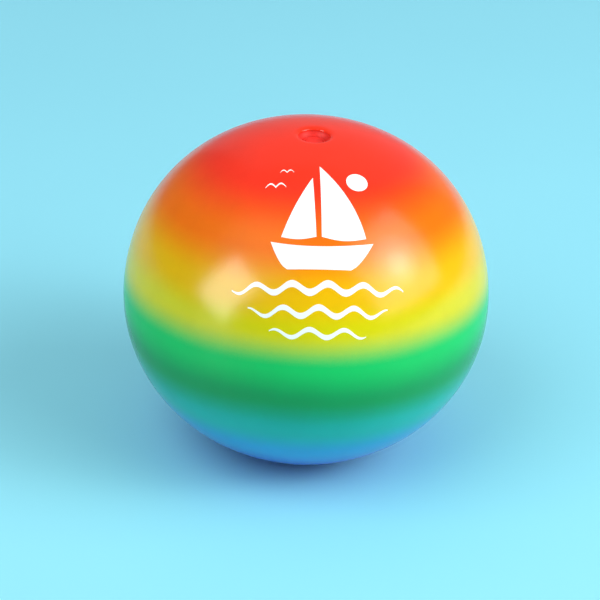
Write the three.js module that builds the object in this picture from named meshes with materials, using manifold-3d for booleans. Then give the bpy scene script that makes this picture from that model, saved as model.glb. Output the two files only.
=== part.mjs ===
// An inflatable vinyl beach ball standing on a floor. One seamless moulded skin holds the air. A soft valve sits
// in a round hole at the top pole: a flange bonded under the skin, a flexible web that turns inside out as the
// valve is pulled up or pushed in, a stem with a check flap at its lower end, and a stopper tied on by a strap.
// Units are millimetres, +Z is up, and the origin is where the ball's axis meets the floor.

import * as THREE from "three";
import { mergeVertices } from "three/addons/utils/BufferGeometryUtils.js";
import Module from "manifold-3d";

// Driving dimensions.
const BALL_RADIUS = 115; // at the widest level
const CROWN_RISE = 111; // from the widest level to the top pole
const BELLY_DROP = 105.5; // depth of the lower half's ellipse, before the foot flattens it
const FOOT_ARC = 60; // radius that turns the belly into the flat foot
const FOOT_ANGLE = THREE.MathUtils.degToRad(20); // slope at which that turn starts
const SKIN = 0.6; // wall of the moulded skin
const LIP_START = 12; // radius at which the skin turns down into the valve recess
const LIP_ROUND = 2.4; // radius of that turn
const GAP = 0.3; // between pieces that touch or are bonded

const FLANGE_RADIUS = 18;
const FLANGE_THICK = 0.9;
const COLLAR_RADIUS = 9.2; // hole in the flange
const COLLAR_DEPTH = 4; // depth of the collar below the pole
const WEB_THICK = 0.7;
const WEB_DEPTH = 9.9; // from the pole down to the web's lowest line
const STEM_RADIUS = 5.5;
const STEM_BORE = 4; // radius
const STEM_TOP = 7.2; // depth of the stem's mouth below the pole
const STEM_END = 19.6; // depth of its lower end
const HEAD_RADIUS = 5.6;
const HEAD_THICK = 1.8;
const PLUG_RADIUS = 3.5;
const PLUG_LENGTH = 7;
const STRAP_RADIUS = 6.8; // middle of the strap's arc
const STRAP_WIDTH = 1.2;
const STRAP_THICK = 0.9;
const FLAP_RADIUS = 4.8;
const FLAP_THICK = 0.5;

// Levels and radii that follow from them.
const BELLY_SLOPE = Math.hypot(BALL_RADIUS * Math.sin(FOOT_ANGLE), BELLY_DROP * Math.cos(FOOT_ANGLE));
const BELLY_END_R = (BALL_RADIUS ** 2 * Math.sin(FOOT_ANGLE)) / BELLY_SLOPE;
const BELLY_END_DROP = (BELLY_DROP ** 2 * Math.cos(FOOT_ANGLE)) / BELLY_SLOPE;
const FOOT_RADIUS = BELLY_END_R - FOOT_ARC * Math.sin(FOOT_ANGLE);
const EQUATOR_Z = BELLY_END_DROP + FOOT_ARC * (1 - Math.cos(FOOT_ANGLE));
const POLE_Z = EQUATOR_Z + CROWN_RISE;

const BALL_SIDES = 56;
const VALVE_SIDES = 32;

const wasm = await Module();
wasm.setup();

const part = new THREE.Group();

// Vinyl and film finishes.
const skinVinyl = new THREE.MeshStandardMaterial({ color: 0xe8b60c, roughness: 0.3, metalness: 0 });
const valveVinyl = new THREE.MeshStandardMaterial({ color: 0xe83228, roughness: 0.35, metalness: 0 });
const flapFilm = new THREE.MeshStandardMaterial({ color: 0xdcd4cc, roughness: 0.3, metalness: 0 });

function addNode(name, geometry, material) {
  const mesh = new THREE.Mesh(geometry, material);
  mesh.name = name;
  part.add(mesh);
}

// Turns a profile of (radius, height) points round the Z axis. The solid lies on the profile's left.
function turned(profile, sides) {
  return new THREE.LatheGeometry(profile, sides).rotateX(Math.PI / 2);
}

function arcPoints(centreR, centreZ, radiusR, radiusZ, from, to, steps) {
  return new THREE.EllipseCurve(centreR, centreZ, radiusR, radiusZ, from, to, to < from).getPoints(steps);
}

function toSolid(geometry) {
  const bare = geometry.index ? geometry.toNonIndexed() : geometry.clone();
  bare.deleteAttribute("normal");
  bare.deleteAttribute("uv");
  const merged = mergeVertices(bare, 1e-4);
  return new wasm.Manifold(
    new wasm.Mesh({
      numProp: 3,
      vertProperties: merged.attributes.position.array,
      triVerts: new Uint32Array(merged.index.array),
    }),
  );
}

function toGeometry(solid) {
  const mesh = solid.getMesh();
  const points = new Float32Array(mesh.numVert * 3);
  for (let i = 0; i < mesh.numVert; i++) {
    points.set(mesh.vertProperties.subarray(i * mesh.numProp, i * mesh.numProp + 3), i * 3);
  }
  return new THREE.BufferGeometry()
    .setAttribute("position", new THREE.BufferAttribute(points, 3))
    .setIndex(new THREE.BufferAttribute(mesh.triVerts, 1));
}

function joined(...geometries) {
  return toGeometry(geometries.map(toSolid).reduce((sum, next) => sum.add(next)));
}

// The skin's surface from the foot's centre up to the valve hole, moved inwards by inset.
function skinLine(inset) {
  const foot = [new THREE.Vector2(0, inset)];
  const turn = arcPoints(
    FOOT_RADIUS, FOOT_ARC, FOOT_ARC - inset, FOOT_ARC - inset, -Math.PI / 2, FOOT_ANGLE - Math.PI / 2, 3,
  );
  const belly = ellipseLine(BELLY_DROP, -Math.acos(BELLY_END_R / BALL_RADIUS), 0, 10, inset).slice(1);
  const crown = ellipseLine(CROWN_RISE, 0, Math.acos(LIP_START / BALL_RADIUS), 12, inset).slice(1);
  const lipRound = LIP_ROUND - inset;
  const lip = arcPoints(LIP_START, crownZ(LIP_START) - LIP_ROUND, lipRound, lipRound, Math.PI / 2, Math.PI, 5);
  return [...foot, ...turn, ...belly, ...crown, ...lip.slice(1)];
}

function ellipseLine(height, from, to, steps, inset) {
  return arcPoints(0, 0, BALL_RADIUS, height, from, to, steps).map((p) => {
    const normal = new THREE.Vector2(p.x / BALL_RADIUS ** 2, p.y / height ** 2).normalize();
    return new THREE.Vector2(p.x - normal.x * inset, EQUATOR_Z + p.y - normal.y * inset);
  });
}

// Height of the skin's outer face over a point near the pole.
function crownZ(radius) {
  return EQUATOR_Z + CROWN_RISE * Math.sqrt(1 - (radius / BALL_RADIUS) ** 2);
}

// The closed outline of a strip of even thickness whose middle runs along the given points.
function stripOutline(middle, thick) {
  const sides = [1, -1].map((side) =>
    middle.map((p, i) => {
      const before = middle[Math.max(i - 1, 0)];
      const after = middle[Math.min(i + 1, middle.length - 1)];
      const along = after.clone().sub(before).normalize();
      return new THREE.Vector2(p.x - (along.y * thick * side) / 2, p.y + (along.x * thick * side) / 2);
    }),
  );
  const outline = [...sides[1], ...sides[0].reverse()];
  return [...outline, outline[0].clone()];
}

// One moulded wall, from the middle of its foot up the inside to the valve hole and back down the outside.
function ballSkin() {
  return turned([...skinLine(0), ...skinLine(SKIN).reverse()], BALL_SIDES);
}

// A ring bonded to the inside of the skin, stepped down to a collar that passes under the skin's lip.
function valveFlange() {
  const drop = SKIN + GAP + FLANGE_THICK / 2;
  const collarZ = POLE_Z - COLLAR_DEPTH;
  const middle = [
    new THREE.Vector2(COLLAR_RADIUS, collarZ),
    new THREE.Vector2(COLLAR_RADIUS + 1, collarZ),
    new THREE.Vector2(LIP_START - 0.7, collarZ + 0.55),
    new THREE.Vector2(LIP_START + 0.5, crownZ(LIP_START + 0.5) - drop - 0.2),
    new THREE.Vector2(LIP_START + 2.5, crownZ(LIP_START + 2.5) - drop),
    new THREE.Vector2(FLANGE_RADIUS, crownZ(FLANGE_RADIUS) - drop),
  ];
  return turned(stripOutline(middle, FLANGE_THICK), VALVE_SIDES);
}

// A thin wall that drops from the collar into a rounded gutter round the stem.
function valveWeb() {
  const outer = COLLAR_RADIUS - GAP - WEB_THICK / 2;
  const inner = STEM_RADIUS + GAP;
  const gutter = 1.5;
  const low = POLE_Z - WEB_DEPTH + WEB_THICK / 2;
  const top = POLE_Z - COLLAR_DEPTH + FLANGE_THICK / 2;
  const middle = [
    new THREE.Vector2(inner, low),
    ...arcPoints(outer - 0.2 - gutter, low + gutter, gutter, gutter, -Math.PI / 2, 0, 5),
    new THREE.Vector2(outer, top),
  ];
  return turned(stripOutline(middle, WEB_THICK), VALVE_SIDES);
}

// The tube that is blown into, with a lug at its lower end that the check flap hangs from.
function valveStem() {
  const top = POLE_Z - STEM_TOP;
  const end = POLE_Z - STEM_END;
  const bevel = 0.4;
  const tube = turned(
    [
      [STEM_BORE, end],
      [STEM_RADIUS, end],
      [STEM_RADIUS, top - bevel],
      [STEM_RADIUS - bevel, top],
      [STEM_BORE + bevel, top],
      [STEM_BORE, top - bevel],
      [STEM_BORE, end],
    ].map(([r, z]) => new THREE.Vector2(r, z)),
    VALVE_SIDES,
  );
  const lugLength = 2;
  const lug = new THREE.BoxGeometry(lugLength, 3.2, 1.6);
  lug.translate(-STEM_RADIUS - lugLength / 2 + 0.6, 0, end + 0.8);
  return joined(tube, lug);
}

// A film disc under the stem, cut straight where it hinges below the lug.
function checkFlap() {
  const top = POLE_Z - STEM_END - GAP;
  const tabHalf = 1.4;
  const corner = Math.asin(tabHalf / FLAP_RADIUS);
  const shape = new THREE.Shape();
  shape.moveTo(-STEM_RADIUS, tabHalf);
  shape.lineTo(-STEM_RADIUS, -tabHalf);
  shape.absarc(0, 0, FLAP_RADIUS, -Math.PI + corner, Math.PI - corner, false);
  shape.closePath();
  const disc = new THREE.ExtrudeGeometry(shape, { depth: FLAP_THICK, bevelEnabled: false, curveSegments: 24 });
  return disc.translate(0, 0, top - FLAP_THICK);
}

// A low domed head with a pull tab at the front, over a hollow plug with two sealing beads.
function stopper() {
  const seat = POLE_Z - STEM_TOP + GAP;
  const top = seat + HEAD_THICK;
  const end = seat - PLUG_LENGTH;
  const bead = 0.2;
  const hollow = 2.1;
  const edge = 0.5;
  const beads = [0.3, 0.62].flatMap((share) => {
    const z = end + PLUG_LENGTH * share;
    return [
      [PLUG_RADIUS, z - 0.4],
      [PLUG_RADIUS + bead, z],
      [PLUG_RADIUS, z + 0.4],
    ];
  });
  const body = turned(
    [
      [0, end + PLUG_LENGTH - 1.2],
      [hollow, end + PLUG_LENGTH - 1.2],
      [hollow, end],
      [PLUG_RADIUS - 0.4, end],
      [PLUG_RADIUS, end + 0.6],
      ...beads,
      [PLUG_RADIUS, seat],
      [HEAD_RADIUS - edge, seat],
      [HEAD_RADIUS, seat + edge],
      [HEAD_RADIUS, top - edge],
      [HEAD_RADIUS - edge, top],
      [HEAD_RADIUS / 2, top + 0.25],
      [0, top + 0.35],
    ].map(([r, z]) => new THREE.Vector2(r, z)),
    VALVE_SIDES,
  );
  const tabThick = 1.1;
  const tab = new THREE.CylinderGeometry(1.7, 1.7, tabThick, 16).rotateX(Math.PI / 2);
  tab.translate(0, -HEAD_RADIUS - 0.3, seat + edge + tabThick / 2);
  return joined(body, tab);
}

// A flat band curled round the back of the head, from a root on the stem's side to the head's rim.
function stopperStrap() {
  const level = POLE_Z - STEM_TOP + GAP + 0.4;
  const rootDrop = 1.7;
  const inner = STRAP_RADIUS - STRAP_WIDTH / 2;
  const outer = STRAP_RADIUS + STRAP_WIDTH / 2;
  const band = sector(inner, outer, 0, Math.PI, STRAP_THICK, level);
  const root = sector(STEM_RADIUS + GAP, outer, Math.PI, Math.PI + 0.3, STRAP_THICK + rootDrop, level - rootDrop);
  const headEnd = sector(HEAD_RADIUS + GAP, outer, -0.25, 0, STRAP_THICK, level);
  return joined(band, root, headEnd);
}

// A piece of a flat ring between two radii and two angles, standing on the given level.
function sector(inner, outer, from, to, height, level) {
  const lap = 0.01; // so that neighbouring sectors join into one body
  const shape = new THREE.Shape();
  shape.absarc(0, 0, outer, from - lap, to + lap, false);
  shape.absarc(0, 0, inner, to + lap, from - lap, true);
  shape.closePath();
  const curveSegments = Math.max(3, Math.round((to - from) * 5));
  return new THREE.ExtrudeGeometry(shape, { depth: height, bevelEnabled: false, curveSegments }).translate(0, 0, level);
}

addNode("ball_skin", ballSkin(), skinVinyl);
addNode("valve_flange", valveFlange(), valveVinyl);
addNode("valve_web", valveWeb(), valveVinyl);
addNode("valve_stem", valveStem(), valveVinyl);
addNode("check_flap", checkFlap(), flapFilm);
addNode("stopper", stopper(), valveVinyl);
addNode("stopper_strap", stopperStrap(), valveVinyl);

export default part;
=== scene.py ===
import math

import bmesh
import bpy
from mathutils import Matrix, Vector


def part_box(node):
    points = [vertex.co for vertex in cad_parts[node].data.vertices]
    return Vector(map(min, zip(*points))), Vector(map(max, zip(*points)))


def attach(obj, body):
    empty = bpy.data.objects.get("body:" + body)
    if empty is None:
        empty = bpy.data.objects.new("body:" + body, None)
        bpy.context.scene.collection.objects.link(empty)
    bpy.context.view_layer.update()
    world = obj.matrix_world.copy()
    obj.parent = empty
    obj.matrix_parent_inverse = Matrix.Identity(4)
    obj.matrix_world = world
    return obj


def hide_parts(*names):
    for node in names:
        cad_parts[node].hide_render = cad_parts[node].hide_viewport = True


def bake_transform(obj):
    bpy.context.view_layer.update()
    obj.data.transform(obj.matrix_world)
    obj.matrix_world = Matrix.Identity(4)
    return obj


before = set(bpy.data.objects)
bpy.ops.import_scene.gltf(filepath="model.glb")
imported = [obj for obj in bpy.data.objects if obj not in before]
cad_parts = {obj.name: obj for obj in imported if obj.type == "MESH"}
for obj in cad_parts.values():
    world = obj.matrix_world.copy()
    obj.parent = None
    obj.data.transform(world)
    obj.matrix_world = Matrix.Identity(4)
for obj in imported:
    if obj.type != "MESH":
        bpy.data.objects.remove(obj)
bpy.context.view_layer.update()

# --------------------------------------------------------------------------------------------------
# The view. A long lens looks a little down on the ball's printed front, and is tipped slightly to one side.
scene = bpy.context.scene
scene.view_settings.view_transform = "Standard"
ball_low, ball_high = (Vector(corner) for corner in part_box("ball_skin"))
ball_radius = (ball_high.x - ball_low.x) / 2
crown_rise = 0.111
lip_start = 0.012  # radius of the ball's highest ring
equator = ball_high.z - crown_rise * math.sqrt(1 - (lip_start / ball_radius) ** 2)
pole = equator + crown_rise

lens = bpy.data.cameras.new("lens")
lens.lens = 164
lens.clip_end = 30
camera = bpy.data.objects.new("camera", lens)
scene.collection.objects.link(camera)
scene.camera = camera
view_distance = 15 * ball_radius
look_down, tip = 28.6, 3.0
aim_right, aim_up = -0.0038, -0.0044
facing = Matrix.Rotation(math.radians(90 - look_down), 3, "X") @ Matrix.Rotation(math.radians(tip), 3, "Z")
aim = Vector((0, 0, equator)) + facing @ Vector((aim_right, aim_up, view_distance))
camera.matrix_world = Matrix.Translation(aim) @ facing.to_4x4()


# --------------------------------------------------------------------------------------------------
# The studio. A round pale floor, a large soft light on the right with a brighter middle, a tall window on
# the left and a pale wall behind that show only in the gloss, and broad fills from the ceiling and left
# wall that don't.
class Wire:
    """A socket in a node tree. Sums and products of wires and numbers add the Math nodes that they need."""

    def __init__(self, tree, socket=None):
        self.tree, self.socket = tree, socket

    def add(self, kind, inputs=(), out=0, stops=None, **settings):
        node = self.tree.nodes.new(kind)
        for name, value in settings.items():
            setattr(node, name, value)
        if stops:
            node.color_ramp.interpolation = "EASE"
            ramp = node.color_ramp.elements
            while len(ramp) < len(stops):
                ramp.new(1)
            for element, (place, colour) in zip(ramp, stops):
                element.position, element.color = place, colour
        for key, value in dict(inputs).items():
            if isinstance(value, Wire):
                self.tree.links.new(value.socket, node.inputs[key])
            else:
                node.inputs[key].default_value = value
        return Wire(self.tree, node.outputs[out]) if len(node.outputs) else node

    def math(self, operation, *values):
        return self.add("ShaderNodeMath", enumerate(values), operation=operation)

    def parts(self):
        node = self.add("ShaderNodeSeparateXYZ", {0: self}).socket.node
        return [Wire(self.tree, socket) for socket in node.outputs]

    def ease(self, low, high):
        """0 below low and 1 above high, with a soft step between."""
        return self.add("ShaderNodeMapRange", {0: self, 1: low, 2: high}, interpolation_type="SMOOTHSTEP")

    def __add__(self, other):
        return self.math("ADD", self, other)

    def __radd__(self, other):
        return self.math("ADD", other, self)

    def __sub__(self, other):
        return self.math("SUBTRACT", self, other)

    def __rsub__(self, other):
        return self.math("SUBTRACT", other, self)

    def __mul__(self, other):
        return self.math("MULTIPLY", self, other)

    def __rmul__(self, other):
        return self.math("MULTIPLY", other, self)

    def __truediv__(self, other):
        return self.math("DIVIDE", self, other)

    def __rtruediv__(self, other):
        return self.math("DIVIDE", other, self)

    def __pow__(self, other):
        return self.math("POWER", self, other)


def new_finish(name, **constants):
    """A material with one Principled shader, and a wire to build its pattern from."""
    finish = bpy.data.materials.new(name)
    finish.use_nodes = True
    shader = finish.node_tree.nodes["Principled BSDF"]
    for socket, value in constants.items():
        shader.inputs[socket.replace("_", " ")].default_value = value
    return finish, shader, Wire(finish.node_tree)


def feed(shader, **wires):
    for socket, wire in wires.items():
        wire.tree.links.new(wire.socket, shader.inputs[socket.replace("_", " ")])


def add_object(name, mesh):
    piece = bpy.data.objects.new(name, mesh)
    scene.collection.objects.link(piece)
    return piece


floor_mesh = bpy.data.meshes.new("floor")
floor_radius, floor_sides = 3.4, 96
floor_turns = [math.tau * i / floor_sides for i in range(floor_sides)]
floor_edge = [(math.cos(a) * floor_radius, math.sin(a) * floor_radius, 0) for a in floor_turns]
floor_mesh.from_pydata(floor_edge, [], [range(floor_sides)])
floor = add_object("floor", floor_mesh)
paint, shader, wire = new_finish("pale_floor", Roughness=0.6)
place = wire.add("ShaderNodeTexCoord", out="Object")
cloud = wire.add("ShaderNodeTexNoise", {"Vector": place, "Scale": 3.0, "Detail": 2.0})
tint = wire.add(
    "ShaderNodeMix",
    {"Factor": cloud, 6: (0.26, 0.68, 0.81, 1), 7: (0.28, 0.71, 0.84, 1)},
    data_type="RGBA",
    out=2,
)
feed(shader, Base_Color=tint)
floor_mesh.materials.append(paint)


def soft_light(name, shape, direction, distance, half_angle, turn, power, tall=1.0):
    """An area light that faces the ball, and spans twice half_angle as the ball sees it."""
    panel = bpy.data.lights.new(name, "AREA")
    panel.shape = shape
    panel.size = 2 * distance * math.tan(math.radians(half_angle))
    panel.size_y = panel.size * tall
    panel.energy = power
    lamp = bpy.data.objects.new(name, panel)
    scene.collection.objects.link(lamp)
    towards = Vector(direction).normalized()
    facing_ball = towards.to_track_quat("Z", "Y").to_matrix().to_4x4()
    facing_ball = facing_ball @ Matrix.Rotation(math.radians(turn), 4, "Z")
    lamp.matrix_world = Matrix.Translation(Vector((0, 0, equator)) + towards * distance) @ facing_ball
    lamp.visible_camera = False
    return lamp


soft_light("right_softbox", "SQUARE", (0.79, -0.27, 0.55), 2.6, 25, 0, 53.0)
soft_light("right_softbox_glow", "DISK", (0.79, -0.27, 0.55), 2.57, 15, 0, 17.0)
soft_light("right_softbox_core", "DISK", (0.80, -0.27, 0.53), 2.55, 7, 0, 7.0)
window = soft_light("left_window", "RECTANGLE", (-0.75, -0.57, 0.33), 2.6, 12, -24, 43.0, 1.4)
window.visible_diffuse = False
soft_light("back_wall", "SQUARE", (0.1, 0.9, 0.5), 3.0, 30, 0, 7.0).visible_diffuse = False
for fill in (
    soft_light("ceiling", "DISK", (-0.35, 0.1, 1.0), 3.5, 48, 0, 90.0),
    soft_light("left_wall", "DISK", (-0.55, -0.5, 0.8), 3.0, 24, 0, 44.0),
):
    fill.visible_glossy = False
world = bpy.data.worlds.new("studio")
scene.world = world
world.use_nodes = True
glow = Wire(world.node_tree)
seen = glow.add("ShaderNodeLightPath", out="Is Camera Ray")
sky = world.node_tree.nodes["Background"]
sky_light, sky_seen_extra = 0.16, 0.5
sky.inputs["Color"].default_value = (0.5, 0.85, 1, 1)
feed(sky, Strength=seen * sky_seen_extra + sky_light)


# --------------------------------------------------------------------------------------------------
# The skin. One seamless shell of soft vinyl, moulded in a turning mould with the valve recess's rounded lip
# in its crown. Blown up, it is rounder above than below, where its own weight flattens it on the floor.
skin_wall = 0.0006
belly_drop = 0.1055
foot_blend = 0.003
shoulder_fullness = 0.014  # how far the crown stands out past an ellipse, as a share
recess_start, recess_mouth = 0.0138, 0.0096  # the lip's outer and inner radius
lip_drop = 0.0019
around, along = 176, 150
weld_distance = 0.000004


def tree_with_inputs(name, *sizes):
    """A geometry tree with one named input for each size, and the wires that those inputs give."""
    tree = bpy.data.node_groups.new(name, "GeometryNodeTree")
    tree.interface.new_socket("Geometry", in_out="INPUT", socket_type="NodeSocketGeometry")
    for size in sizes:
        tree.interface.new_socket(size, in_out="INPUT", socket_type="NodeSocketFloat")
    tree.interface.new_socket("Geometry", in_out="OUTPUT", socket_type="NodeSocketGeometry")
    entry = tree.nodes.new("NodeGroupInput")
    return tree, [Wire(tree, socket) for socket in entry.outputs[: len(sizes) + 1]]


def close_tree(wire, finish):
    """Ends the tree in Realize Instances and Set Material."""
    real = wire.add("GeometryNodeRealizeInstances", {0: wire})
    painted = wire.add("GeometryNodeSetMaterial", {"Geometry": real, "Material": finish})
    leave = wire.tree.nodes.new("NodeGroupOutput")
    wire.tree.links.new(painted.socket, leave.inputs[0])


def grown(piece, tree, **sizes):
    """Puts the tree on the piece with these sizes, and makes the result a plain mesh."""
    modifier = piece.modifiers.new("tree", "NODES")
    modifier.node_group = tree
    for item in tree.interface.items_tree:
        if item.in_out == "INPUT" and item.name.replace(" ", "_") in sizes:
            modifier[item.identifier] = sizes[item.name.replace(" ", "_")]
    return settled(piece)


def settled(piece):
    """Turns a piece and its modifiers into a plain mesh."""
    bpy.context.view_layer.update()
    evaluated = piece.evaluated_get(bpy.context.evaluated_depsgraph_get())
    piece.data = bpy.data.meshes.new_from_object(evaluated)
    piece.modifiers.clear()
    return piece


def smooth(piece, angle=40):
    piece.data.shade_smooth()
    piece.data.set_sharp_from_angle(angle=math.radians(angle))
    return piece


# Sprayed colour: ten paints laid from a turning gun, each at its fullest at one height and thinning into
# the next, so their edges wander a little and are grainy. Heights are shares of the ball's height.
def shade(red, green, blue):
    """A finish's colour from its usual 0 to 255 values."""
    return [*(((c / 255 + 0.055) / 1.055) ** 2.4 if c > 10 else c / 3295 for c in (red, green, blue)), 1]


violet, blue, sky = shade(140, 60, 190), shade(30, 105, 205), shade(0, 155, 205)
turquoise, leaf, fresh = shade(0, 175, 160), shade(0, 150, 75), shade(10, 195, 90)
lemon, gold, orange, red = shade(220, 205, 0), shade(240, 182, 0), shade(248, 112, 0), shade(247, 50, 25)
sprays = [
    (0.00, violet),
    (0.08, blue),
    (0.19, sky),
    (0.30, turquoise),
    (0.42, leaf),
    (0.53, fresh),
    (0.63, lemon),
    (0.72, gold),
    (0.84, orange),
    (0.95, red),
]

skin_vinyl, shader, wire = new_finish(
    "sprayed_vinyl", IOR=1.42, Sheen_Weight=0.06, Sheen_Roughness=0.3
)
place = wire.add("ShaderNodeTexCoord", out="Object")
x, y, z = place.parts()
wander = wire.add("ShaderNodeTexNoise", {"Vector": place, "Scale": 11.0, "Detail": 1.0})
grain = wire.add("ShaderNodeTexNoise", {"Vector": place, "Scale": 1400.0, "Detail": 1.0})
band_tilt, band_bow = 0.016, 0.4  # the bands rise a little to the right, and dip at both sides
wander_share, grain_share = 0.02, 0.012
sprayed_at = z - x * band_tilt + x * x * band_bow
height = sprayed_at / pole + (wander - 0.5) * wander_share + (grain - 0.5) * grain_share
bands = wire.add("ShaderNodeValToRGB", {0: height}, stops=sprays)
mottle = wire.add("ShaderNodeTexNoise", {"Vector": place, "Scale": 60.0, "Detail": 4.0, "Roughness": 0.6})
thicker = (mottle - 0.35) * 0.12
deep = wire.add("ShaderNodeMix", {0: thicker, 6: bands, 7: (0, 0, 0, 1)}, data_type="RGBA", out=2)
smear = wire.add("ShaderNodeTexNoise", {"Vector": place, "Scale": 24.0, "Detail": 5.0, "Roughness": 0.65})
peel = wire.add("ShaderNodeTexNoise", {"Vector": place, "Scale": 420.0, "Detail": 2.0})
slack = wire.add("ShaderNodeTexNoise", {"Vector": place, "Scale": 14.0, "Detail": 1.0})
pore = wire.add("ShaderNodeTexNoise", {"Vector": place, "Scale": 2400.0, "Detail": 1.0})
relief = wire.add(
    "ShaderNodeBump",
    {"Strength": 0.35, "Distance": 0.001, "Height": peel * 0.12 + slack * 0.4 + pore * 0.02},
)
feed(shader, Base_Color=deep, Roughness=smear * 0.1 + 0.155, Normal=relief)

tree, (wire, radius, rise, drop, middle, shoulder, lip, bend_in, bend_down, blend) = tree_with_inputs(
    "moulded_skin", "Radius", "Rise", "Drop", "Middle", "Shoulder", "Lip", "Bend In", "Bend Down", "Blend"
)
grid = wire.add("GeometryNodeMeshGrid", {0: 1.0, 1: 1.0, 2: around + 1, 3: along + 1})
u, v, _ = wire.add("GeometryNodeInputPosition").parts()
lip_share = 0.08
crown_angle = wire.math("ARCCOSINE", lip / radius)
up = wire.math("MINIMUM", (v + 0.5) / (1 - lip_share), 1.0)
tilt = up * (crown_angle + math.pi / 2) - math.pi / 2
half = drop + (rise - drop) * wire.math("GREATER_THAN", tilt, 0.0)
body_z = wire.math("SMOOTH_MAX", middle + half * wire.math("SINE", tilt), 0.0, blend)
over = wire.math("MAXIMUM", (v + 0.5 - (1 - lip_share)) / lip_share, 0.0)
turn = over * (math.pi / 2)
ring = radius * wire.math("COSINE", tilt) - bend_in * wire.math("SINE", turn)
crown_z = middle + rise * wire.math("SQRT", 1 - (ring / radius) ** 2)
lip_z = crown_z - bend_down * (1 - wire.math("COSINE", turn))
on_lip = wire.math("GREATER_THAN", over, 0.0)
level = body_z + (lip_z - body_z) * on_lip
steepness = 1 - (ring / radius) ** 2
fuller = 1 + shoulder * 4 * steepness * (1 - steepness) * wire.math("GREATER_THAN", tilt, 0.0)
ring, level = ring * fuller, middle + (level - middle) * fuller
angle = (u + 0.5) * math.tau
spot = wire.add(
    "ShaderNodeCombineXYZ",
    {0: ring * wire.math("COSINE", angle), 1: ring * wire.math("SINE", angle), 2: level},
)
shell = wire.add("GeometryNodeSetPosition", {"Geometry": grid, "Position": spot})
shell = wire.add("GeometryNodeMergeByDistance", {"Geometry": shell, "Distance": weld_distance})
close_tree(shell, skin_vinyl)

ball_skin = grown(
    add_object("ball_skin_vinyl", bpy.data.meshes.new("ball_skin_vinyl")),
    tree,
    Radius=ball_radius,
    Rise=crown_rise,
    Drop=belly_drop,
    Middle=equator,
    Shoulder=shoulder_fullness,
    Lip=recess_start,
    Bend_In=recess_start - recess_mouth,
    Bend_Down=lip_drop,
    Blend=foot_blend,
)
wall = ball_skin.modifiers.new("wall", "SOLIDIFY")
wall.thickness, wall.offset = skin_wall, -1
smooth(settled(ball_skin), 60)
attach(ball_skin, "ball")
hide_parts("ball_skin")


# --------------------------------------------------------------------------------------------------
# The print. One coat of white ink, pressed on the blown-up ball's front with a soft pad, so flat artwork
# wraps round the curve. A little sailing boat, sun and gulls stand over three waves.
ink_thick = 0.0001
print_latitude, print_turn = math.radians(41), math.radians(4.2)
artwork = bmesh.new()


def inked(place, columns, rows):
    """Adds one patch of flat artwork. place gives millimetres for shares across and up."""
    points = [[place(i / columns, j / rows) for i in range(columns + 1)] for j in range(rows + 1)]
    verts = [[artwork.verts.new((px / 1000, py / 1000, 0)) for px, py in line] for line in points]
    for j in range(rows):
        for i in range(columns):
            artwork.faces.new((verts[j][i], verts[j][i + 1], verts[j + 1][i + 1], verts[j + 1][i]))


def main_sail(u, v):
    width = 27 * (1 - v) * (1 + 0.55 * v)
    return 1.5 + width * u, 9 + 52 * v - 2.2 * math.sin(math.pi * u) * (1 - v)


def jib(u, v):
    width = 21 * (1 - v) * (1 + 0.25 * v)
    return -1.7 - 1.5 * v - width * (1 - u), 9 + 42 * v - 1.6 * math.sin(math.pi * u) * (1 - v)


def hull(u, v):
    half = 19 + 12 * v**0.7
    px = half * (2 * u - 1)
    return px + 2 * v * (2 * u - 1) ** 2, -11 + 14 * v + 3.2 * v * (px / 31) ** 2


def sun(u, v):
    radius_mm = 7 * v
    return 25 + radius_mm * math.sin(math.tau * u), 49 + radius_mm * math.cos(math.tau * u)


def gull(left, top, span):
    def place(u, v):
        rise = abs(math.sin(2 * math.pi * u)) * span * 0.22
        thick = span * 0.11 * math.sin(math.pi * (0.08 + 0.84 * u)) ** 0.6
        return left + span * u, top + rise - thick * (v - 0.5)

    return lambda u, v: place(u, 1 - v)


def wave(half, level, height, thick, shift):
    def place(u, v):
        taper = math.sin(math.pi * min(max(u, 0.012), 0.988)) ** 0.45
        px = half * (2 * u - 1)
        swell = height * math.sin(2 * math.pi * (px / 21.5 + shift))
        return px, level + swell + thick * taper * (v - 0.5)

    return place


inked(main_sail, 14, 30)
inked(jib, 12, 26)
inked(hull, 36, 8)
inked(sun, 48, 4)
inked(gull(-33, 44, 13), 32, 2)
inked(gull(-24, 56, 9), 28, 2)
inked(wave(53, -22, 2.6, 4.4, 0.0), 150, 3)
inked(wave(43, -36, 2.6, 3.8, 0.25), 124, 3)
inked(wave(30, -49, 2.4, 3.2, 0.5), 90, 3)

white_ink, shader, wire = new_finish("white_ink", IOR=1.5, Coat_Weight=0.2, Coat_Roughness=0.2)
place = wire.add("ShaderNodeTexCoord", out="Object")
weave = wire.add("ShaderNodeTexNoise", {"Vector": place, "Scale": 900.0, "Detail": 2.0})
cover = wire.add("ShaderNodeTexNoise", {"Vector": place, "Scale": 90.0, "Detail": 3.0})
thin = wire.math("MULTIPLY", cover, weave)
coat = wire.add(
    "ShaderNodeMix",
    {0: thin.ease(0.3, 0.6) * 0.5, 6: (0.95, 0.92, 0.86, 1), 7: (0.9, 0.83, 0.72, 1)},
    data_type="RGBA",
    out=2,
)
relief = wire.add("ShaderNodeBump", {"Strength": 0.3, "Distance": 0.0004, "Height": weave * 0.25})
feed(shader, Base_Color=coat, Roughness=cover * 0.12 + 0.3, Normal=relief)

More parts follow.
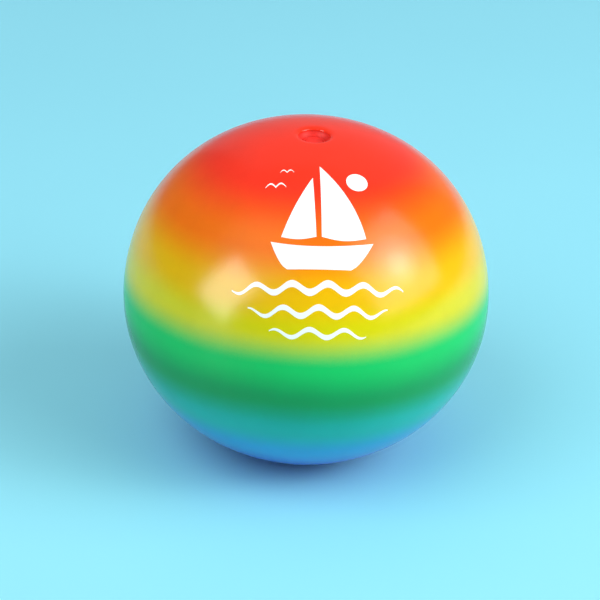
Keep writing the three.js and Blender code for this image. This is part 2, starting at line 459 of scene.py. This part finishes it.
tree, (wire, radius, rise, middle, shoulder, latitude, turn, proud) = tree_with_inputs(
    "pad_print", "Radius", "Rise", "Middle", "Shoulder", "Latitude", "Turn", "Proud"
)
across, upwards, _ = wire.add("GeometryNodeInputPosition").parts()
reach = wire.math("SQRT", across**2 + upwards**2 + 1e-12)
bow = wire.math("SINE", reach / radius) / reach
ahead = wire.math("COSINE", reach / radius)
sin_lat, cos_lat = wire.math("SINE", latitude), wire.math("COSINE", latitude)
side = across * bow
front = ahead * cos_lat - upwards * bow * sin_lat
tall = ahead * sin_lat + upwards * bow * cos_lat
sin_turn, cos_turn = wire.math("SINE", turn), wire.math("COSINE", turn)
out_x = side * cos_turn + front * sin_turn
out_y = side * sin_turn - front * cos_turn
flat_share = (side**2 + front**2) / radius**2
length = 1 / wire.math("SQRT", flat_share + tall**2 / rise**2)
steepness = (tall * length / rise) ** 2
length = length * (1 + shoulder * 4 * steepness * (1 - steepness)) + proud
spot = wire.add(
    "ShaderNodeCombineXYZ", {0: out_x * length, 1: out_y * length, 2: middle + tall * length}
)
wrapped = wire.add("GeometryNodeSetPosition", {"Geometry": wire, "Position": spot})
joined = wire.add("GeometryNodeMergeByDistance", {"Geometry": wrapped, "Distance": weld_distance})
close_tree(joined, white_ink)

print_mesh = bpy.data.meshes.new("front_print")
artwork.to_mesh(print_mesh)
front_print = grown(
    add_object("front_print", print_mesh),
    tree,
    Radius=ball_radius,
    Rise=crown_rise,
    Middle=equator,
    Shoulder=shoulder_fullness,
    Latitude=print_latitude,
    Turn=print_turn,
    Proud=ink_thick * 0.3,
)
coat_wall = front_print.modifiers.new("coat", "SOLIDIFY")
coat_wall.thickness, coat_wall.offset = ink_thick, 0
smooth(settled(front_print), 60)
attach(front_print, "ball")


# --------------------------------------------------------------------------------------------------
# The valve's flange. A ring of soft vinyl in the crown's red, heat-welded to the inside of the skin. It
# steps down to a collar that passes under the skin's lip.
def turned(name, outline, sides=112):
    """Turns a closed outline of (radius, depth below the pole) round the ball's axis, all in millimetres."""
    mesh = bmesh.new()
    rings = []
    for radius_mm, depth_mm in outline:
        z_here = pole - depth_mm / 1000
        if radius_mm == 0:
            rings.append([mesh.verts.new((0, 0, z_here))] * sides)
            continue
        ring = []
        for i in range(sides):
            a = math.tau * i / sides
            spot_here = (radius_mm * math.cos(a) / 1000, radius_mm * math.sin(a) / 1000, z_here)
            ring.append(mesh.verts.new(spot_here))
        rings.append(ring)
    for low, high in zip(rings, rings[1:] + rings[:1]):
        for i in range(sides):
            corners = [low[i - 1], low[i], high[i], high[i - 1]]
            unique = list(dict.fromkeys(corners))
            if len(unique) > 2:
                mesh.faces.new(unique)
    bmesh.ops.recalc_face_normals(mesh, faces=mesh.faces)
    data = bpy.data.meshes.new(name)
    mesh.to_mesh(data)
    return add_object(name, data)


def strip(middle_line, thick):
    """The closed outline of a wall of even thickness along a middle line."""
    sides = [[], []]
    for i, (mr, md) in enumerate(middle_line):
        before, after = middle_line[max(i - 1, 0)], middle_line[min(i + 1, len(middle_line) - 1)]
        along_line = Vector((after[0] - before[0], after[1] - before[1])).normalized() * thick / 2
        sides[0].append((mr - along_line.y, md + along_line.x))
        sides[1].append((mr + along_line.y, md - along_line.x))
    return sides[0] + sides[1][::-1]


def eased(points, steps=5):
    """A smooth line through the given points."""
    line = []
    for i in range(len(points) - 1):
        p0, p1, p2, p3 = (Vector(points[min(max(i + k, 0), len(points) - 1)]) for k in (-1, 0, 1, 2))
        for step in range(steps):
            t = step / steps
            spot_on_line = 2 * p1 + (p2 - p0) * t
            spot_on_line += (2 * p0 - 5 * p1 + 4 * p2 - p3) * t**2
            spot_on_line += (3 * p1 - p0 - 3 * p2 + p3) * t**3
            line.append(tuple(0.5 * spot_on_line))
    return [*line, tuple(points[-1])]


def crown_depth(radius_mm):
    return 1000 * crown_rise * (1 - math.sqrt(1 - (radius_mm / 1000 / ball_radius) ** 2))


def round_edges(piece, width_mm):
    bevel = piece.modifiers.new("soft_edges", "BEVEL")
    bevel.width, bevel.segments, bevel.limit_method = width_mm / 1000, 3, "ANGLE"
    bevel.angle_limit = math.radians(35)
    return settled(piece)


def red_vinyl(name, colour, roughness):
    finish, shader, wire = new_finish(name, IOR=1.45)
    place = wire.add("ShaderNodeTexCoord", out="Object")
    flow = wire.add("ShaderNodeTexNoise", {"Vector": place, "Scale": 160.0, "Detail": 4.0})
    pore = wire.add("ShaderNodeTexNoise", {"Vector": place, "Scale": 2600.0, "Detail": 2.0})
    darker = [channel * 0.8 for channel in colour[:3]] + [1]
    shaded = flow.ease(0.35, 0.75)
    mixed = wire.add("ShaderNodeMix", {0: shaded, 6: colour, 7: darker}, data_type="RGBA", out=2)
    bumps = pore * 0.2 + flow * 0.4
    relief = wire.add("ShaderNodeBump", {"Strength": 0.4, "Distance": 0.0003, "Height": bumps})
    feed(shader, Base_Color=mixed, Roughness=flow * 0.14 + roughness, Normal=relief)
    return finish


valve_vinyl = red_vinyl("valve_vinyl", shade(240, 46, 36), 0.48)
flange_thick, weld_gap = 0.9, 0.3
under_skin = skin_wall * 1000 + weld_gap + flange_thick / 2
flange_line = eased(
    [
        (9.85, 3.75),
        (10.5, 3.75),
        (11.4, 3.45),
        (12.5, crown_depth(12.5) + under_skin + 0.6),
        (14.5, crown_depth(14.5) + under_skin + 0.15),
        (16.2, crown_depth(16.2) + under_skin + 0.05),
        (18.0, crown_depth(18.0) + under_skin),
    ]
)
flange = round_edges(turned("valve_flange_ring", strip(flange_line, flange_thick)), 0.2)
flange.data.materials.append(valve_vinyl)
smooth(flange)
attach(flange, "ball")
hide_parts("valve_flange")


# --------------------------------------------------------------------------------------------------
# The valve's web. A thin soft wall that hangs from the collar and curls up to the stem, like the bottom of
# a wine bottle. It turns through itself when the valve is pulled up or pushed in.
web_thick = 0.7
curl_radius, curl_centre, curl_depth = 1.5, 6.85, 8.05
web_wall = [(9.95, 2.4), (9.85, 3.1), (9.5, 4.1), (9.05, 5.1), (8.7, 6.1), (8.45, 7.1), (8.35, curl_depth)]
web_line = eased(web_wall, 3)
for degrees in range(10, 91, 10):
    a = math.radians(degrees)
    web_line.append((curl_centre + curl_radius * math.cos(a), curl_depth + curl_radius * math.sin(a)))
web_line += [(6.3, 9.55), (5.8, 9.5)]
web = turned("valve_web_wall", strip(web_line, web_thick))
web.data.materials.append(valve_vinyl)
smooth(web, 60)
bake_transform(web)
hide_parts("valve_web")


# --------------------------------------------------------------------------------------------------
# The valve's stem. A moulded tube that is blown into, with a bead round its mouth, a drawn-in skirt below,
# and a lug at the lower end that the check flap is welded to.
stem_outline = [
    (4.0, 19.6),
    (5.5, 19.6),
    (5.5, 18.6),
    (5.42, 18.5),
    (5.42, 10.2),
    (5.5, 10.1),
    (5.5, 8.2),
    (5.42, 8.1),
    (5.42, 7.9),
    (5.5, 7.8),
    (5.5, 7.4),
    (5.3, 7.2),
    (4.25, 7.2),
    (4.0, 7.45),
    (4.0, 13.0),
]
stem = round_edges(turned("valve_stem_tube", stem_outline), 0.12)
lug = bmesh.new()
lug.from_mesh(stem.data)
lug_out, lug_depth = 0.0060, 0.0188
lug_thick, lug_wide = 0.0016, 0.0032
corners = bmesh.ops.create_cube(lug, size=1)["verts"]
for vert in corners:
    side_x, side_y, side_z = vert.co
    from_middle = Vector((side_x * lug_thick, side_y * lug_wide, side_z * lug_thick))
    vert.co = Vector((-lug_out, 0, pole - lug_depth)) + from_middle
edges = list({edge for vert in corners for edge in vert.link_edges})
bmesh.ops.bevel(lug, geom=edges, offset=0.0003, segments=3, affect="EDGES")
lug.to_mesh(stem.data)
stem.data.materials.append(valve_vinyl)
smooth(stem)
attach(stem, "valve")
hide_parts("valve_stem")


# --------------------------------------------------------------------------------------------------
# The check flap. A disc punched from clear film, with a tab that is welded to the lug. Breath pushes it
# down and the air inside shuts it again.
flap_film, shader, wire = new_finish("clear_film", IOR=1.5, Alpha=0.75, Coat_Weight=0.3, Coat_Roughness=0.1)
place = wire.add("ShaderNodeTexCoord", out="Object")
haze = wire.add("ShaderNodeTexNoise", {"Vector": place, "Scale": 400.0, "Detail": 4.0})
milky = wire.add(
    "ShaderNodeMix", {0: haze, 6: (0.8, 0.76, 0.72, 1), 7: (0.66, 0.62, 0.58, 1)}, data_type="RGBA", out=2
)
crease = wire.add("ShaderNodeBump", {"Strength": 0.3, "Distance": 0.0002, "Height": haze * 0.5})
feed(shader, Base_Color=milky, Roughness=haze * 0.2 + 0.15, Normal=crease)

flap_radius, tab_reach, tab_half, flap_depth, flap_thick = 4.8, 5.5, 1.4, 0.0199, 0.0005
rim_steps = 72
film = bmesh.new()
tab_angle = math.asin(tab_half / flap_radius)
rim = [(-tab_reach, tab_half), (-tab_reach, -tab_half)]
for i in range(rim_steps + 1):
    a = -math.pi + tab_angle + (math.tau - 2 * tab_angle) * i / rim_steps
    rim.append((flap_radius * math.cos(a), flap_radius * math.sin(a)))
film.faces.new([film.verts.new((px / 1000, py / 1000, pole - flap_depth)) for px, py in rim])
bmesh.ops.inset_region(film, faces=film.faces, thickness=0.0004)
disc = max(film.faces, key=lambda face: len(face.verts))
bmesh.ops.poke(film, faces=[disc])
data = bpy.data.meshes.new("check_flap_film")
bmesh.ops.recalc_face_normals(film, faces=film.faces)
film.to_mesh(data)
flap = add_object("check_flap_film", data)
wall = flap.modifiers.new("wall", "SOLIDIFY")
wall.thickness, wall.offset = flap_thick, -1
settled(flap)
round_edges(flap, 0.1)
flap.data.materials.append(flap_film)
smooth(flap)
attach(flap, "flap")
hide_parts("check_flap")


# --------------------------------------------------------------------------------------------------
# The stopper. A moulded head with a low dome and a raised ring, over a hollow plug whose two beads grip the
# stem's bore. A fingernail tab stands out at the front.
stopper_outline = [
    (0, 8.1),
    (1.6, 8.1),
    (2.1, 8.5),
    (2.1, 13.9),
    (3.1, 13.9),
    (3.5, 13.3),
    (3.5, 12.2),
    (3.7, 11.8),
    (3.5, 11.4),
    (3.5, 9.95),
    (3.7, 9.55),
    (3.5, 9.15),
    (3.5, 6.9),
    (5.1, 6.9),
    (5.6, 6.65),
    (5.6, 5.55),
    (5.35, 5.2),
    (4.9, 5.05),
    (3.9, 4.95),
    (3.75, 4.8),
    (3.3, 4.78),
    (3.15, 4.92),
    (1.6, 4.8),
    (0, 4.75),
]
stopper = turned("stopper_plug", stopper_outline, 96)
tab_radius, tab_thick, tab_out, tab_depth = 0.0017, 0.0011, 0.0059, 0.00585
tab = bmesh.new()
tab.from_mesh(stopper.data)
rounds = bmesh.ops.create_cone(
    tab, cap_ends=True, cap_tris=False, segments=32, radius1=tab_radius, radius2=tab_radius, depth=tab_thick
)["verts"]
for vert in rounds:
    vert.co += Vector((0, -tab_out, pole - tab_depth))
tab.to_mesh(stopper.data)
round_edges(stopper, 0.12)
stopper.data.materials.append(valve_vinyl)
smooth(stopper)
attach(stopper, "stopper")
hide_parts("stopper")


# --------------------------------------------------------------------------------------------------
# The stopper's strap. A thin band moulded with the valve, curled round the back of the head in the recess.
# It rises in a coil as the stopper is pulled.
strap_steps, strap_sides = 64, 16
strap_radius, strap_depth = 6.8, 6.05
strap_half_wide, strap_half_tall = 0.56, 0.42
strap_path = []
for i in range(strap_steps + 1):
    a = math.pi - math.pi * i / strap_steps
    strap_path.append((strap_radius * math.cos(a), strap_radius * math.sin(a), strap_depth))
strap_path = [(-5.9, -0.55, 7.6), (-6.35, -0.5, 7.0), (-6.7, -0.3, 6.35)] + strap_path
strap_path += [(6.6, -0.6, strap_depth), (6.1, -1.1, strap_depth)]
band = bmesh.new()
loops = []
for i, point in enumerate(strap_path):
    before, after = strap_path[max(i - 1, 0)], strap_path[min(i + 1, len(strap_path) - 1)]
    ahead_way = Vector((after[0] - before[0], after[1] - before[1], before[2] - after[2])).normalized()
    outwards = ahead_way.cross(Vector((0, 0, 1))).normalized()
    upwards_way = outwards.cross(ahead_way).normalized()
    loop = []
    for k in range(strap_sides):
        a = math.tau * (k + 0.5) / strap_sides
        sx, sy = (math.copysign(abs(f(a)) ** 0.5, f(a)) for f in (math.cos, math.sin))
        spot_here = Vector((point[0], point[1], -point[2])) + outwards * sx * strap_half_wide
        spot_here += upwards_way * sy * strap_half_tall
        loop.append(band.verts.new(spot_here / 1000 + Vector((0, 0, pole))))
    loops.append(loop)
for low, high in zip(loops, loops[1:]):
    for k in range(strap_sides):
        band.faces.new((low[k - 1], low[k], high[k], high[k - 1]))
for cap in (loops[0], loops[-1]):
    band.faces.new(cap)
bmesh.ops.recalc_face_normals(band, faces=band.faces)
data = bpy.data.meshes.new("stopper_strap_band")
band.to_mesh(data)
strap = add_object("stopper_strap_band", data)
strap.data.materials.append(valve_vinyl)
smooth(strap, 50)
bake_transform(strap)
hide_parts("stopper_strap")
